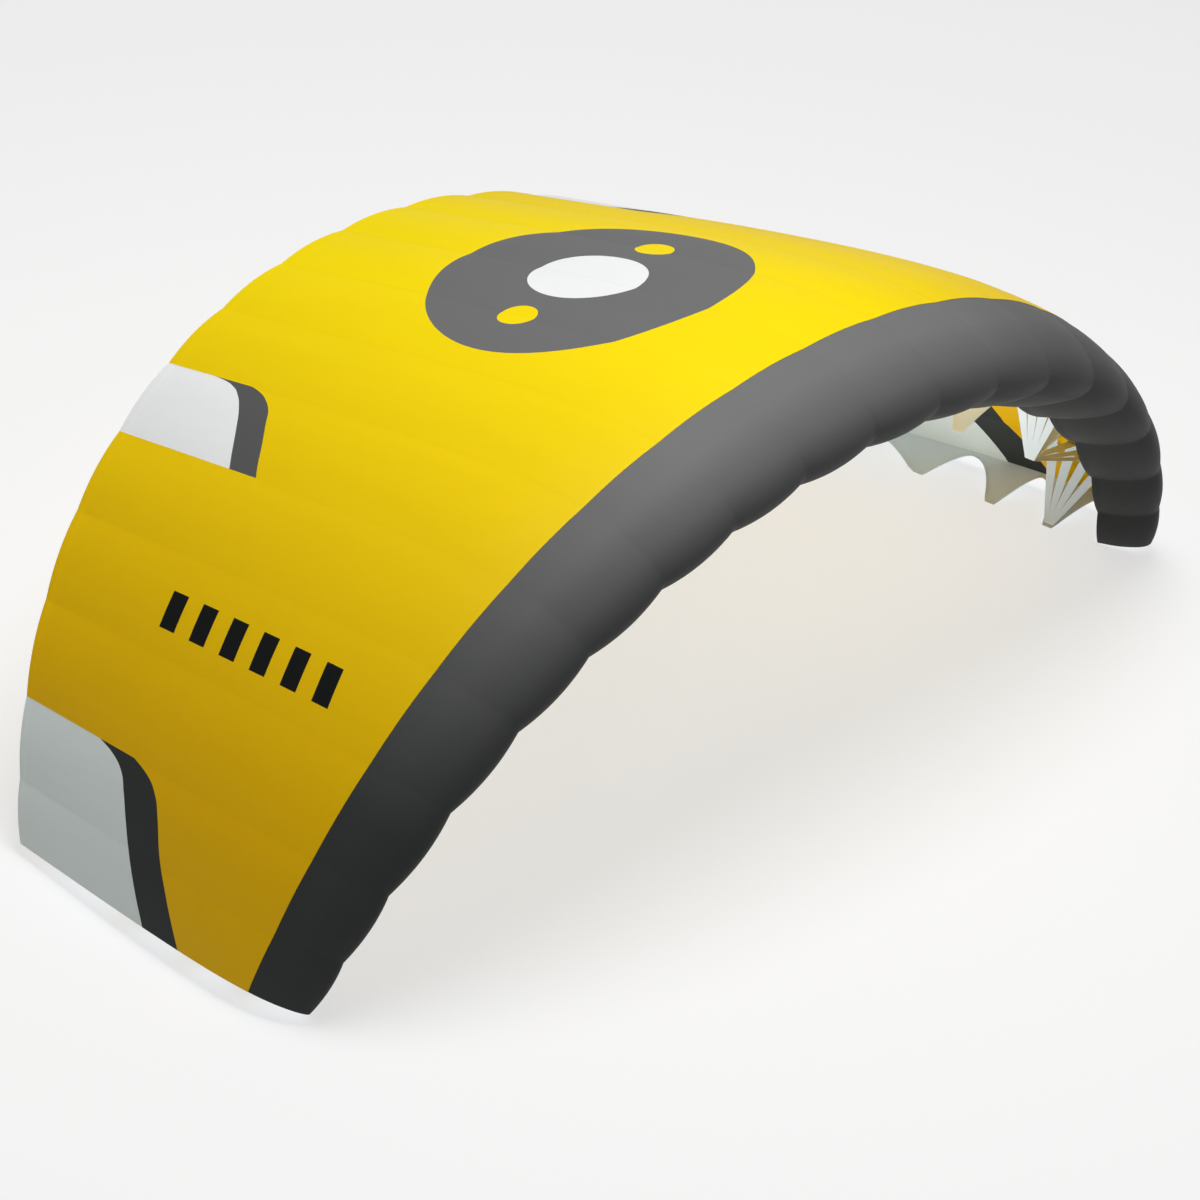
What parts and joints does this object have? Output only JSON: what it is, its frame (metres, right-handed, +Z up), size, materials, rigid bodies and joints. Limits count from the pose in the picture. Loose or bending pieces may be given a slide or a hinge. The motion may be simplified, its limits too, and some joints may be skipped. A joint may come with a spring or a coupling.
{
  "type": "parawing",
  "caption": "Single-skin cloth wing inflated into an arch: yellow canopy, dark leading edge, scalloped ribs, line tabs and slit strap fans. Flown on lines and a hand-held bar, it pulls a rider.",
  "frame": {"origin": "on the floor, at the middle of the box around the standing wing", "axes": "+X along the span, to the wing's left as it flies; +Y from the leading edge to the trailing edge; +Z up"},
  "size_m": [2.8566, 1.3754, 0.9742],
  "materials": {
    "canopy_cloth": "woven, slight sheen",
    "nose_cloth": "woven, coated, soft gloss",
    "rib_cloth": "woven, matt"
  },
  "bodies": {
    "root": {"top-panel-01": "canopy_cloth", "top-panel-02": "canopy_cloth", "top-panel-03": "canopy_cloth", "top-panel-04": "canopy_cloth", "top-panel-05": "canopy_cloth", "top-panel-06": "canopy_cloth", "top-panel-07": "canopy_cloth", "top-panel-08": "canopy_cloth", "top-panel-09": "canopy_cloth", "top-panel-10": "canopy_cloth", "top-panel-11": "canopy_cloth", "top-panel-12": "canopy_cloth", "top-panel-13": "canopy_cloth", "top-panel-14": "canopy_cloth", "top-panel-15": "canopy_cloth", "top-panel-16": "canopy_cloth", "top-panel-17": "canopy_cloth", "top-panel-18": "canopy_cloth", "nose-panel-01": "nose_cloth", "nose-panel-02": "nose_cloth", "nose-panel-03": "nose_cloth", "nose-panel-04": "nose_cloth", "nose-panel-05": "nose_cloth", "nose-panel-06": "nose_cloth", "nose-panel-07": "nose_cloth", "nose-panel-08": "nose_cloth", "nose-panel-09": "nose_cloth", "nose-panel-10": "nose_cloth", "nose-panel-11": "nose_cloth", "nose-panel-12": "nose_cloth", "nose-panel-13": "nose_cloth", "nose-panel-14": "nose_cloth", "nose-panel-15": "nose_cloth", "nose-panel-16": "nose_cloth", "nose-panel-17": "nose_cloth", "nose-panel-18": "nose_cloth", "rib-01": "rib_cloth", "rib-02": "rib_cloth", "rib-03": "rib_cloth", "rib-04": "rib_cloth", "rib-05": "rib_cloth", "rib-06": "rib_cloth", "rib-07": "rib_cloth", "rib-08": "rib_cloth", "rib-09": "rib_cloth", "rib-10": "rib_cloth", "strap-fan-01": "rib_cloth", "strap-fan-02": "rib_cloth", "strap-fan-03": "rib_cloth", "strap-fan-04": "rib_cloth", "strap-fan-05": "rib_cloth", "strap-fan-06": "rib_cloth", "strap-fan-07": "rib_cloth", "strap-fan-08": "rib_cloth", "strap-fan-09": "rib_cloth", "strap-fan-10": "rib_cloth"}
  },
  "joints": []
}
